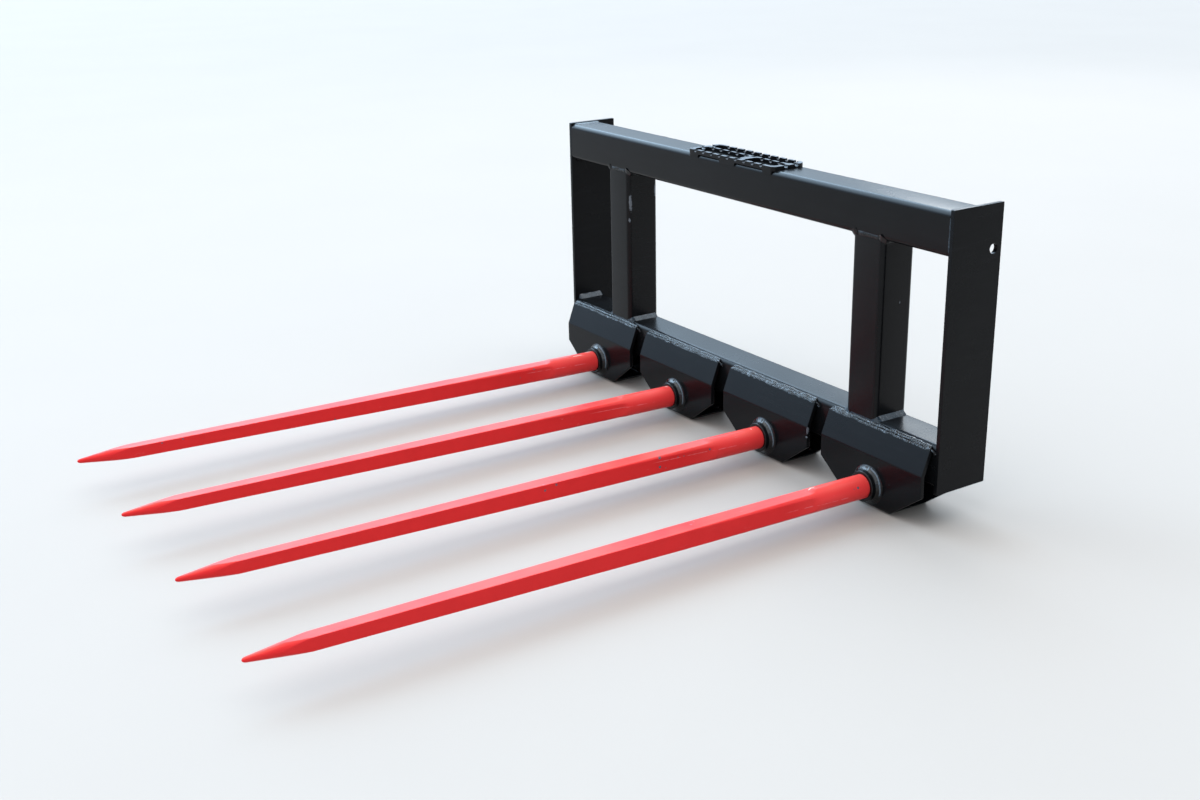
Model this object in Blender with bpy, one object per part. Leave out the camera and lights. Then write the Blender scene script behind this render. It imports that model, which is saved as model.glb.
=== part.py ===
"""Four-tine bale spear for a compact loader's quick-attach coupler.

A welded frame of two square tubes, two uprights and two end plates carries four
bent pockets.  Each pocket holds a welded-in sleeve with a tapered bore, and a
tapered spear is drawn into it by a nut behind.  A serrated step sits on the top tube.

Metres, +Z up, +X along the frame, +Y towards the loader; the spears point to -Y.
World origin: middle of the lock plate's sloping face, where the bottom edge of the
loader's coupler bears.  The dimensions below are laid out from the middle of the
bottom tube's rear face, and the frame's empty carries the whole part to its place.
"""
import math

import bmesh
import bpy
from mathutils import Matrix, Vector

# ---------------------------------------------------------------- dimensions
INCH = 0.0254
GAP = 0.0003                      # clearance left between touching pieces

FRAME_WIDTH = 46.0 * INCH         # over the end plates
PLATE_T = 5 / 16 * INCH           # end plates, pockets, lips
PLATE_H = 19.5 * INCH
PLATE_D = 4.5 * INCH              # end plate, front to back
TUBE = 3.0 * INCH                 # square tube, outside
TUBE_WALL = 3 / 16 * INCH
TUBE_CORNER = 3 / 8 * INCH        # outer corner radius
PLATE_BELOW = 0.5 * INCH          # end plate below the bottom tube
TOP_DROP = 0.0032                 # top tube below the plates' top edge
UPRIGHT_X = 0.3885                # centre of each upright
PLATE_HOLE_D = 11 / 16 * INCH
PLATE_HOLE_Y = 0.0201
PLATE_HOLE_Z = 0.3683

POCKET_PITCH = 0.2953             # spear to spear
POCKET_HALF_W = 0.128
POCKET_FOOT_HALF_W = 0.051        # half width of the return flange
POCKET_FACE_FWD = 0.025           # pocket face ahead of the tube face
POCKET_BEND_Z = -0.0153           # where the face leans back to the tube
POCKET_TOP_Z = 0.0285             # inner top edge, where it meets the tube
POCKET_LEAN = math.radians(20.3)
POCKET_BOTTOM_Z = -0.1133
POCKET_CUT_Z = -0.0558            # where the lower corner cuts start
POCKET_BACK_Y = -0.0062           # rear end of the return flange
POCKET_FOOT_R = 0.010             # outer radius of the lower bend

SPEAR_Z = -0.0718                 # axis height at the pocket face
SPEAR_TILT = math.atan(0.0215)    # the points rise slightly
SPEAR_L = 1.1535                  # pocket face to tip
SPEAR_R = 0.875 * INCH            # 1 3/4 in round stock
SPEAR_A0 = 0.01913                # half width of the flats, run back to the face
SPEAR_A1 = 0.01034                # and run out to the tip
SPEAR_TIP_R = 0.0035
SPEAR_TIP_TAN = 0.121             # turned point, slope of its side
SHANK_R = 0.0152                  # rear end of the tapered shank
THREAD_R = 0.0140
SHANK_END = -0.0960               # along the axis, from the pocket face
THREAD_END = -0.1335

SLEEVE_R = 2.25 * INCH / 2
SLEEVE_FRONT = 0.0165
SLEEVE_BACK = -0.0990

WASHER_R = 0.0254
WASHER_T = 0.0040
NUT_AF = 1.625 * INCH
NUT_H = 0.0220

SUPPORT_Y = -0.0122               # middle of the plate behind each pocket

STEP_HALF_W = 0.133
STEP_TOP = 0.0072                 # tread above the tube's top face
STEP_FRONT_OVER = 0.0015          # front edge ahead of the tube face
STEP_REAR_OVER = 0.0020           # rear edge behind the tube's rear face
STEP_FOOT_DROP = 0.0080           # feet below the tube's top face
STEP_EDGE_DROP = 0.0014           # front edge between the feet
STEP_LIP_TURN = 35.7              # the rear lip hugs the tube's corner down to this angle
STEP_CORNER_R = 0.016
NOTCH_R = 0.0047
NOTCH_SINK = 0.0003               # notch centres below the tread
NOTCH_PITCH = 0.0255
NOTCH_FIRST = -0.1134
NOTCH_COUNT = 9

LIP_TOP_Z = 0.4372                # hook lip where it leaves the top tube
LIP_END_Y = 0.0358
LOCK_TOP_Z = 0.0112
LOCK_SLOT_X = 0.41275
LOCK_SLOT_W = 0.060
LOCK_SLOT_L = 0.0250
LOCK_BEAR_Y = 0.0185              # line where the coupler bears on the lock plate
LIP_RELIEF = 0.0035               # weld-prep chamfer where a lip's underside meets the tube

HALF_W = FRAME_WIDTH / 2
IN_X = HALF_W - PLATE_T           # inner face of the end plates
FRONT_Y = -TUBE                   # front faces of the tubes
PLATE_Z0 = -TUBE / 2 - PLATE_BELOW
PLATE_Z1 = PLATE_Z0 + PLATE_H
TOP_Z1 = PLATE_Z1 - TOP_DROP      # top face of the top tube
TOP_Z0 = TOP_Z1 - TUBE
BOT_Z1 = TUBE / 2
BOT_Z0 = -TUBE / 2
FACE_Y = FRONT_Y - POCKET_FACE_FWD

# ---------------------------------------------------------------- scene
for ob in list(bpy.data.objects):
    bpy.data.objects.remove(ob, do_unlink=True)


def material(name, colour, rough, metal=0.0):
    mat = bpy.data.materials.new(name)
    mat.use_nodes = True
    bsdf = mat.node_tree.nodes["Principled BSDF"]
    bsdf.inputs["Base Color"].default_value = (*colour, 1.0)
    bsdf.inputs["Roughness"].default_value = rough
    bsdf.inputs["Metallic"].default_value = metal
    mat.diffuse_color = (*colour, 1.0)
    return mat


# everything hangs on this empty; its location puts the bearing line at the origin
frame = bpy.data.objects.new("bale_spear", None)
frame.location = (0.0, -LOCK_BEAR_Y, -(LOCK_TOP_Z - (LOCK_BEAR_Y - GAP)))
bpy.context.scene.collection.objects.link(frame)

BLACK = (0.018, 0.019, 0.021)
RED = (0.55, 0.035, 0.045)
ZINC = (0.55, 0.56, 0.58)


def finish(name, bm, colour, rough, metal=0.0, smooth=False):
    """Turn a bmesh into a named object with a material of its own."""
    bmesh.ops.recalc_face_normals(bm, faces=bm.faces)
    mesh = bpy.data.meshes.new(name)
    bm.to_mesh(mesh)
    bm.free()
    if smooth:
        mesh.shade_smooth()
        mesh.set_sharp_from_angle(angle=math.radians(35))
    ob = bpy.data.objects.new(name, mesh)
    ob.data.materials.append(material(name + "_paint", colour, rough, metal))
    bpy.context.scene.collection.objects.link(ob)
    ob.parent = frame
    return ob


def guide(name, bm):
    """A cutter: kept out of the model itself."""
    bmesh.ops.recalc_face_normals(bm, faces=bm.faces)
    mesh = bpy.data.meshes.new(name)
    bm.to_mesh(mesh)
    bm.free()
    ob = bpy.data.objects.new(name, mesh)
    bpy.context.scene.collection.objects.link(ob)
    ob.parent = frame
    ob.hide_render = True
    ob.display_type = "WIRE"
    return ob


def cut(ob, cutter, label):
    mod = ob.modifiers.new(label, "BOOLEAN")
    mod.operation = "DIFFERENCE"
    mod.solver = "EXACT"
    mod.object = cutter


def loops_to_bmesh(loops, cap_first=True, cap_last=True, closed=False):
    """Skin a list of point loops of equal length, then cap or close the run."""
    bm = bmesh.new()
    rings = [[bm.verts.new(p) for p in loop] for loop in loops]
    n = len(rings[0])
    pairs = list(zip(rings, rings[1:]))
    if closed:
        pairs.append((rings[-1], rings[0]))
    for a, b in pairs:
        for i in range(n):
            j = (i + 1) % n
            bm.faces.new((a[i], a[j], b[j], b[i]))
    if not closed:
        if cap_first:
            bm.faces.new(list(reversed(rings[0])))
        if cap_last:
            bm.faces.new(rings[-1])
    return bm


def prism(points, axis, lo, hi):
    """Extrude a 2-D outline along a world axis: (y,z) for X, (x,z) for Y, (x,y) for Z."""
    def place(u, v, w):
        return {"X": (w, u, v), "Y": (u, w, v), "Z": (u, v, w)}[axis]
    bm = bmesh.new()
    verts = [bm.verts.new(place(u, v, lo)) for u, v in points]
    face = bm.faces.new(verts)
    out = bmesh.ops.extrude_face_region(bm, geom=[face])
    moved = [g for g in out["geom"] if isinstance(g, bmesh.types.BMVert)]
    bmesh.ops.translate(bm, verts=moved, vec=Vector(place(0, 0, hi - lo)))
    return bm


def box(lo, hi):
    return prism([(lo[0], lo[1]), (hi[0], lo[1]), (hi[0], hi[1]), (lo[0], hi[1])],
                 "Z", lo[2], hi[2])


def arc(cx, cy, r, a0, a1, n):
    """Points on an arc in degrees, both ends included."""
    return [(cx + r * math.cos(math.radians(a0 + (a1 - a0) * i / n)),
             cy + r * math.sin(math.radians(a0 + (a1 - a0) * i / n)))
            for i in range(n + 1)]


def round_rect(u0, u1, v0, v1, r, n):
    return (arc(u1 - r, v0 + r, r, -90, 0, n) + arc(u1 - r, v1 - r, r, 0, 90, n)
            + arc(u0 + r, v1 - r, r, 90, 180, n) + arc(u0 + r, v0 + r, r, 180, 270, n))


def cylinder(radius, depth, n, matrix):
    bm = bmesh.new()
    bmesh.ops.create_cone(bm, cap_ends=True, segments=n, radius1=radius,
                          radius2=radius, depth=depth, matrix=matrix)
    return bm


# ---------------------------------------------------------------- tubes and uprights
def square_tube(name, axis, u0, u1, v0, v1, lo, hi):
    """Hollow section with rounded corners, open at both ends."""
    outer = round_rect(u0, u1, v0, v1, TUBE_CORNER, 4)
    t = TUBE_WALL
    inner = round_rect(u0 + t, u1 - t, v0 + t, v1 - t, TUBE_CORNER - t, 4)

    def ring(points, w):
        if axis == "X":
            return [(w, u, v) for u, v in points]
        return [(u, v, w) for u, v in points]
    bm = loops_to_bmesh([ring(outer, lo), ring(outer, hi), ring(inner, hi),
                         ring(inner, lo)], closed=True)
    return finish(name, bm, BLACK, 0.32, smooth=True)


TUBE_END = IN_X - GAP
square_tube("top_tube", "X", FRONT_Y, 0.0, TOP_Z0, TOP_Z1, -TUBE_END, TUBE_END)
square_tube("bottom_tube", "X", FRONT_Y, 0.0, BOT_Z0, BOT_Z1, -TUBE_END, TUBE_END)
for side, sx in (("left", -1), ("right", 1)):
    cx = sx * UPRIGHT_X
    square_tube("upright_" + side, "Z", cx - TUBE / 2, cx + TUBE / 2, FRONT_Y, 0.0,
                BOT_Z1 + GAP, TOP_Z0 - GAP)

# ---------------------------------------------------------------- end plates
for side, sx in (("left", -1), ("right", 1)):
    x0, x1 = sorted((sx * IN_X, sx * HALF_W))
    ob = finish("end_plate_" + side,
                box((x0, FRONT_Y, PLATE_Z0), (x1, FRONT_Y + PLATE_D, PLATE_Z1)),
                BLACK, 0.32)
    drill = guide("plate_drill_" + side,
                  cylinder(PLATE_HOLE_D / 2, 4 * PLATE_T, 24,
                           Matrix.Translation((sx * (HALF_W - PLATE_T / 2),
                                               PLATE_HOLE_Y, PLATE_HOLE_Z))
                           @ Matrix.Rotation(math.pi / 2, 4, "Y")))
    cut(ob, drill, "pin_hole")

# ---------------------------------------------------------------- spear frames
SPEAR_X = [(i - 1.5) * POCKET_PITCH for i in range(4)]


def spear_matrix(x):
    """Local +Z runs from the pocket face along the spear, local X stays X."""
    return (Matrix.Translation((x, FACE_Y, SPEAR_Z))
            @ Matrix.Rotation(math.pi / 2 - SPEAR_TILT, 4, "X"))


def turned(profile, n):
    """A closed profile of (radius, s) turned about local Z, as a ring-shaped solid."""
    loops = [[(r * math.cos(2 * math.pi * i / n), r * math.sin(2 * math.pi * i / n), s)
              for i in range(n)] for r, s in profile]
    return loops_to_bmesh(loops, closed=True)


def shank_radius(s):
    """Tapered shank, from the sleeve's mouth to its rear end."""
    k = (SLEEVE_FRONT - s) / (SLEEVE_FRONT - SHANK_END)
    return SPEAR_R + (SHANK_R - SPEAR_R) * k


def spear_section(s, n):
    """Round stock forged square towards the tip, with a turned point."""
    half = SPEAR_A0 + (SPEAR_A1 - SPEAR_A0) * s / SPEAR_L
    cone = SPEAR_TIP_R + SPEAR_TIP_TAN * (SPEAR_L - s)
    points = []
    for i in range(n):
        a = 2 * math.pi * i / n
        c, d = math.cos(a), math.sin(a)
        r = min(SPEAR_R, half / max(abs(c), abs(d)) if s > 0.1 else SPEAR_R, cone)
        points.append((r * c, r * d, s))
    return points


def pocket_profile():
    """Outline in (y, z): leaning top, upright face, return flange underneath."""
    t = PLATE_T
    c, s = math.cos(POCKET_LEAN), math.sin(POCKET_LEAN)
    inner_top = (FRONT_Y - GAP, POCKET_TOP_Z)
    outer_top = (inner_top[0] - t * c, inner_top[1] + t * s)
    # upper bend: inner radius 4 mm, centre behind the face
    ri = 0.004
    ro = ri + t
    cy = FACE_Y + ro
    # the bend starts where the face ends; its centre height follows the outer corner
    cz = POCKET_BEND_Z - ro * math.tan(POCKET_LEAN / 2)
    lean = math.degrees(POCKET_LEAN)
    upper_out = arc(cy, cz, ro, 180 - lean, 180, 3)
    upper_in = arc(cy, cz, ri, 180, 180 - lean, 3)
    rb = POCKET_FOOT_R
    by, bz = FACE_Y + rb, POCKET_BOTTOM_Z + rb
    lower_out = arc(by, bz, rb, 180, 270, 5)
    lower_in = arc(by, bz, rb - t, 270, 180, 5)
    return ([outer_top] + upper_out + lower_out
            + [(POCKET_BACK_Y, POCKET_BOTTOM_Z), (POCKET_BACK_Y, POCKET_BOTTOM_Z + t)]
            + lower_in + upper_in + [inner_top])


for i, x in enumerate(SPEAR_X, start=1):
    m = spear_matrix(x)

    # bent pocket
    pocket = finish("spear_pocket_%d" % i,
                    prism(pocket_profile(), "X", x - POCKET_HALF_W, x + POCKET_HALF_W),
                    BLACK, 0.30)
    slope = (POCKET_CUT_Z - POCKET_BOTTOM_Z) / (POCKET_HALF_W - POCKET_FOOT_HALF_W)
    far = POCKET_HALF_W + 0.015
    for label, sx in (("a", -1), ("b", 1)):
        outline = [(x + sx * far, POCKET_CUT_Z + slope * (far - POCKET_HALF_W)),
                   (x + sx * POCKET_FOOT_HALF_W, POCKET_BOTTOM_Z),
                   (x + sx * POCKET_FOOT_HALF_W, POCKET_BOTTOM_Z - 0.02),
                   (x + sx * far, POCKET_BOTTOM_Z - 0.02)]
        wedge = guide("pocket_corner_%d%s" % (i, label),
                      prism(outline, "Y", FACE_Y - 0.02, POCKET_BACK_Y + 0.02))
        cut(pocket, wedge, "corner_" + label)
    drill = guide("sleeve_drill_%d" % i,
                  cylinder(SLEEVE_R + GAP, 0.24, 28,
                           m @ Matrix.Translation((0, 0, -0.050))))
    cut(pocket, drill, "sleeve_hole")

    # back plate, under the bottom tube: the pocket's own outline, standing on its flange
    foot_z = POCKET_BOTTOM_Z + PLATE_T + GAP
    foot_w = POCKET_FOOT_HALF_W + (foot_z - POCKET_BOTTOM_Z) / slope
    outline = [(x - foot_w, foot_z), (x + foot_w, foot_z),
               (x + POCKET_HALF_W, POCKET_CUT_Z), (x + POCKET_HALF_W, BOT_Z0 - GAP),
               (x - POCKET_HALF_W, BOT_Z0 - GAP), (x - POCKET_HALF_W, POCKET_CUT_Z)]
    support = finish("sleeve_support_%d" % i,
                     prism(outline, "Y", SUPPORT_Y - PLATE_T / 2, SUPPORT_Y + PLATE_T / 2),
                     BLACK, 0.34)
    cut(support, drill, "sleeve_hole")

    # welded-in sleeve with its tapered bore
    sleeve = finish("spear_sleeve_%d" % i,
                    turned([(SLEEVE_R - 0.001, SLEEVE_FRONT),
                            (SLEEVE_R, SLEEVE_FRONT - 0.001),
                            (SLEEVE_R, SLEEVE_BACK),
                            (shank_radius(SLEEVE_BACK) + GAP, SLEEVE_BACK),
                            (shank_radius(SLEEVE_FRONT) + GAP, SLEEVE_FRONT)], 28),
                    BLACK, 0.28, smooth=True)
    sleeve.matrix_local = m

    # spear: threaded tail, tapered shank, round then square blade, turned point
    n = 24
    round_loop = lambda r, s: [(r * math.cos(2 * math.pi * k / n),
                                r * math.sin(2 * math.pi * k / n), s) for k in range(n)]
    stations = [0.150, 0.190, 0.225, 0.260, 0.300, 0.350, 0.430, 0.620, 0.840]
    stations += [SPEAR_L - d for d in (0.120, 0.100, 0.085, 0.070, 0.058, 0.035, 0.0025)]
    loops = [round_loop(THREAD_R - 0.0015, THREAD_END),
             round_loop(THREAD_R, THREAD_END + 0.0015),
             round_loop(THREAD_R, SHANK_END - 0.0002),
             round_loop(SHANK_R, SHANK_END),
             round_loop(SPEAR_R, SLEEVE_FRONT)]
    loops += [spear_section(s, n) for s in stations]
    loops.append(round_loop(SPEAR_TIP_R * 0.7, SPEAR_L))
    spear = finish("spear_%d" % i, loops_to_bmesh(loops), RED, 0.35, smooth=True)
    spear.matrix_local = m

    # washer and nut on the tail
    z1 = SLEEVE_BACK - GAP
    z0 = z1 - WASHER_T
    bore = THREAD_R + GAP
    washer = finish("spear_washer_%d" % i,
                    turned([(WASHER_R, z1), (WASHER_R, z0), (bore, z0), (bore, z1)], 24),
                    ZINC, 0.35, 0.9, smooth=True)
    washer.matrix_local = m

    z1 = z0 - GAP
    z0 = z1 - NUT_H

    def hexagon(s, limit):
        points = []
        for k in range(24):
            a = 2 * math.pi * k / 24
            b = (a + math.pi / 6) % (math.pi / 3) - math.pi / 6
            r = min(NUT_AF / 2 / math.cos(b), limit)
            points.append((r * math.cos(a), r * math.sin(a), s))
        return points
    corner = NUT_AF
    nut = finish("spear_nut_%d" % i,
                 loops_to_bmesh([hexagon(z1, NUT_AF / 2), hexagon(z1 - 0.0018, corner),
                                 hexagon(z0 + 0.0018, corner), hexagon(z0, NUT_AF / 2),
                                 round_loop(bore, z0), round_loop(bore, z1)],
                                closed=True),
                 ZINC, 0.35, 0.9, smooth=True)
    nut.matrix_local = m

# ---------------------------------------------------------------- serrated step
Y_STEP0 = FRONT_Y - STEP_FRONT_OVER
Y_STEP1 = FRONT_Y + TUBE + STEP_REAR_OVER
STEP_Z1 = TOP_Z1 + STEP_TOP
STEP_Z0 = TOP_Z1 + GAP

# tread outline, front corners tighter than the rear ones
tread = (arc(STEP_HALF_W - 0.009, Y_STEP0 + 0.009, 0.009, -90, 0, 4)
         + arc(STEP_HALF_W - STEP_CORNER_R, Y_STEP1 - STEP_CORNER_R, STEP_CORNER_R, 0, 90, 5)
         + arc(-STEP_HALF_W + STEP_CORNER_R, Y_STEP1 - STEP_CORNER_R, STEP_CORNER_R, 90, 180, 5)
         + arc(-STEP_HALF_W + 0.009, Y_STEP0 + 0.009, 0.009, 180, 270, 4))
step = finish("step_plate",
              prism(tread, "Z", TOP_Z1 - STEP_FOOT_DROP, STEP_Z1), BLACK, 0.30)

# everything below the tread that isn't the front edge or a foot
edge_z = TOP_Z1 - STEP_EDGE_DROP
floor_z = TOP_Z1 - STEP_FOOT_DROP - 0.01
r, w = TUBE_CORNER + GAP, 0.2
hollow = [(FRONT_Y - GAP, floor_z)]
hollow += arc(FRONT_Y + TUBE_CORNER, TOP_Z1 - TUBE_CORNER, r, 180, 90, 6)
hollow += arc(-TUBE_CORNER, TOP_Z1 - TUBE_CORNER, r, 90, STEP_LIP_TURN, 5)
hollow += [(0.05, hollow[-1][1]), (0.05, floor_z)]
cut(step, guide("step_tube_clear", prism(hollow, "X", -w, w)), "tube_clearance")
FEET = [(-0.127, -0.103), (-0.028, 0.013), (0.104, 0.124)]
gaps = [(-w, FEET[0][0]), (FEET[0][1], FEET[1][0]), (FEET[1][1], FEET[2][0]), (FEET[2][1], w)]
for k, (a, b) in enumerate(gaps):
    slant = 0.004
    outline = [(a + slant if a > -w else a, edge_z), (b - slant if b < w else b, edge_z),
               (b, floor_z), (a, floor_z)]
    gap_cut = guide("step_gap_%d" % k, prism(outline, "Y", Y_STEP0 - 0.01, FRONT_Y + 0.03))
    cut(step, gap_cut, "gap_%d" % k)

# openings through the tread: two in front, one long one behind
Y_FRONT_OPEN = (FRONT_Y + 0.0063, FRONT_Y + 0.0398)
Y_REAR_OPEN = (FRONT_Y + 0.0458, FRONT_Y + 0.0722)
OPENINGS = [(-0.122, 0.016, *Y_FRONT_OPEN, 0.008), (0.034, 0.122, *Y_FRONT_OPEN, 0.008),
            (-0.122, 0.122, *Y_REAR_OPEN, 0.008)]
for k, (x0, x1, y0, y1, rr) in enumerate(OPENINGS):
    through = guide("step_opening_%d" % k,
                    prism(round_rect(x0, x1, y0, y1, rr, 3), "Z",
                          TOP_Z1 - 0.03, STEP_Z1 + 0.01))
    cut(step, through, "opening_%d" % k)

# half-round grip notches across the tops of the bars
BARS = [(Y_STEP0 - 0.006, FRONT_Y + 0.012, 0.0050),
        (FRONT_Y + 0.0370, FRONT_Y + 0.0490, 0.0087),
        (FRONT_Y + 0.0695, Y_STEP1 + 0.006, 0.0174)]
for b, (y0, y1, shift) in enumerate(BARS):
    for k in range(NOTCH_COUNT):
        x = NOTCH_FIRST + shift + k * NOTCH_PITCH
        if abs(x) > STEP_HALF_W - STEP_CORNER_R and b == 2:
            continue
        notch = cylinder(NOTCH_R, y1 - y0, 12,
                         Matrix.Translation((x, (y0 + y1) / 2, STEP_Z1 - NOTCH_SINK))
                         @ Matrix.Rotation(math.pi / 2, 4, "X")
                         @ Matrix.Rotation(math.pi / 12, 4, "Z"))
        cut(step, guide("step_notch_%d_%d" % (b, k), notch), "notch_%d_%d" % (b, k))
for sx in (-1, 1):
    for k, y in enumerate((FRONT_Y + 0.0295, FRONT_Y + 0.0550)):
        notch = cylinder(NOTCH_R, 0.034, 12,
                         Matrix.Translation((sx * 0.1235, y, STEP_Z1 - NOTCH_SINK))
                         @ Matrix.Rotation(math.pi / 2, 4, "Y")
                         @ Matrix.Rotation(math.pi / 12, 4, "Z"))
        cut(step, guide("step_end_notch_%d_%d" % (sx, k), notch),
            "end_notch_%d_%d" % (sx, k))

# ---------------------------------------------------------------- coupler lips
root = math.sqrt(0.5)


def sloping_lip(top_z):
    """A flat plate leaving the tube's rear face and falling back at 45 degrees."""
    drop = LIP_END_Y - GAP
    under_z = top_z - PLATE_T / root
    return [(GAP, top_z), (LIP_END_Y, top_z - drop),
            (LIP_END_Y - PLATE_T * root, top_z - drop - PLATE_T * root),
            (GAP + LIP_RELIEF, under_z - LIP_RELIEF), (GAP, under_z + LIP_RELIEF / 2)]


finish("hook_lip", prism(sloping_lip(LIP_TOP_Z), "X", -TUBE_END, TUBE_END), BLACK, 0.34)
lock = finish("lock_plate", prism(sloping_lip(LOCK_TOP_Z), "X", -TUBE_END, TUBE_END),
              BLACK, 0.34)
mid_y = LOCK_BEAR_Y
mid_z = LOCK_TOP_Z - (mid_y - GAP) - PLATE_T / root / 2
for side, sx in (("left", -1), ("right", 1)):
    half = LOCK_SLOT_L / 2
    outline = round_rect(-LOCK_SLOT_W / 2, LOCK_SLOT_W / 2, -half, half, 0.004, 2)
    slot_bm = prism(outline, "Z", -0.03, 0.03)
    bmesh.ops.transform(slot_bm, verts=slot_bm.verts,
                        matrix=Matrix.Translation((sx * LOCK_SLOT_X, mid_y, mid_z))
                        @ Matrix.Rotation(-math.pi / 4, 4, "X"))
    cut(lock, guide("lock_slot_" + side, slot_bm), "pin_slot_" + side)
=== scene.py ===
import math
import random

import bmesh
import bpy
import numpy as np
from mathutils import Matrix, Vector, noise


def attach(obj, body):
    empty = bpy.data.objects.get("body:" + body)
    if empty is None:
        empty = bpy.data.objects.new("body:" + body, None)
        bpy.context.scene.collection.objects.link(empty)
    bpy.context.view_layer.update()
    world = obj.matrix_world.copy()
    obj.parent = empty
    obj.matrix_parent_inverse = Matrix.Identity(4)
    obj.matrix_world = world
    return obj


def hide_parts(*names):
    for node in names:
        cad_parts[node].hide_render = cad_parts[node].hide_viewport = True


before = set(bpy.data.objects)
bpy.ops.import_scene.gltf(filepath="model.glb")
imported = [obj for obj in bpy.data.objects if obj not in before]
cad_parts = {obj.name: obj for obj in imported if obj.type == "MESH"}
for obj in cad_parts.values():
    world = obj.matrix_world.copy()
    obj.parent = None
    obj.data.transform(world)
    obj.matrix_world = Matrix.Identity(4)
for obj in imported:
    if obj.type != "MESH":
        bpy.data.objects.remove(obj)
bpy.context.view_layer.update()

scene = bpy.context.scene
INCH = 0.0254
GAP = 0.0003

# ---------------------------------------------------------------- sizes, as the solids have them
PLATE_T = 5 / 16 * INCH
TUBE = 3 * INCH
TUBE_R = 3 / 8 * INCH
TUBE_WALL = 3 / 16 * INCH
HALF_W = 23 * INCH
IN_X = HALF_W - PLATE_T
FRONT_Y = -TUBE
PLATE_D = 4.5 * INCH
PLATE_Z0 = -TUBE / 2 - 0.5 * INCH
PLATE_Z1 = PLATE_Z0 + 19.5 * INCH
TOP_Z1 = PLATE_Z1 - 0.0032
TOP_Z0 = TOP_Z1 - TUBE
BOT_Z1 = TUBE / 2
BOT_Z0 = -TUBE / 2
UPRIGHT_X = 0.3885
HOLE_R = 11 / 32 * INCH
HOLE_Y, HOLE_Z = 0.0201, 0.3683

PITCH = 0.2953
POCKET_X = [(i - 1.5) * PITCH for i in range(4)]
POCKET_HW = 0.128
FOOT_HW = 0.051
FACE_Y = FRONT_Y - 0.025
BEND_Z = -0.0153
POCKET_TOP_Z = 0.0285
LEAN = math.radians(20.3)
POCKET_BOT = -0.1133
CUT_Z = -0.0558
POCKET_BACK = -0.0062

SPEAR_Z = -0.0718
TILT = math.atan(0.0215)
SPEAR_L = 1.1535
SPEAR_R = 0.875 * INCH
A0, A1 = 0.01913, 0.01034
TIP_R, TIP_TAN = 0.0035, 0.121
SHANK_R, THREAD_R = 0.0152, 0.0140
SHANK_END, THREAD_END = -0.0960, -0.1335
SLEEVE_R = 1.125 * INCH
SLEEVE_FRONT, SLEEVE_BACK = 0.0165, -0.0990
WASHER_R, WASHER_T = 0.0254, 0.004
NUT_AF, NUT_H = 1.625 * INCH, 0.022
SUPPORT_Y = -0.0122

STEP_HW = 0.133
STEP_Z1 = TOP_Z1 + 0.0072
STEP_Y0 = FRONT_Y - 0.0015
STEP_Y1 = 0.0020
LIP_TOP, LIP_END = 0.4372, 0.0358
LOCK_TOP = 0.0112
LIP_RELIEF = 0.0035
FLOOR_Z = POCKET_BOT
# the drawing's zero is the bottom tube's rear face; the frame's is the lock plate's bearing line
BEAR_Y = 0.0185
PLACE = Matrix.Translation((0.0, -BEAR_Y, -(LOCK_TOP - (BEAR_Y - GAP))))


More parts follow.
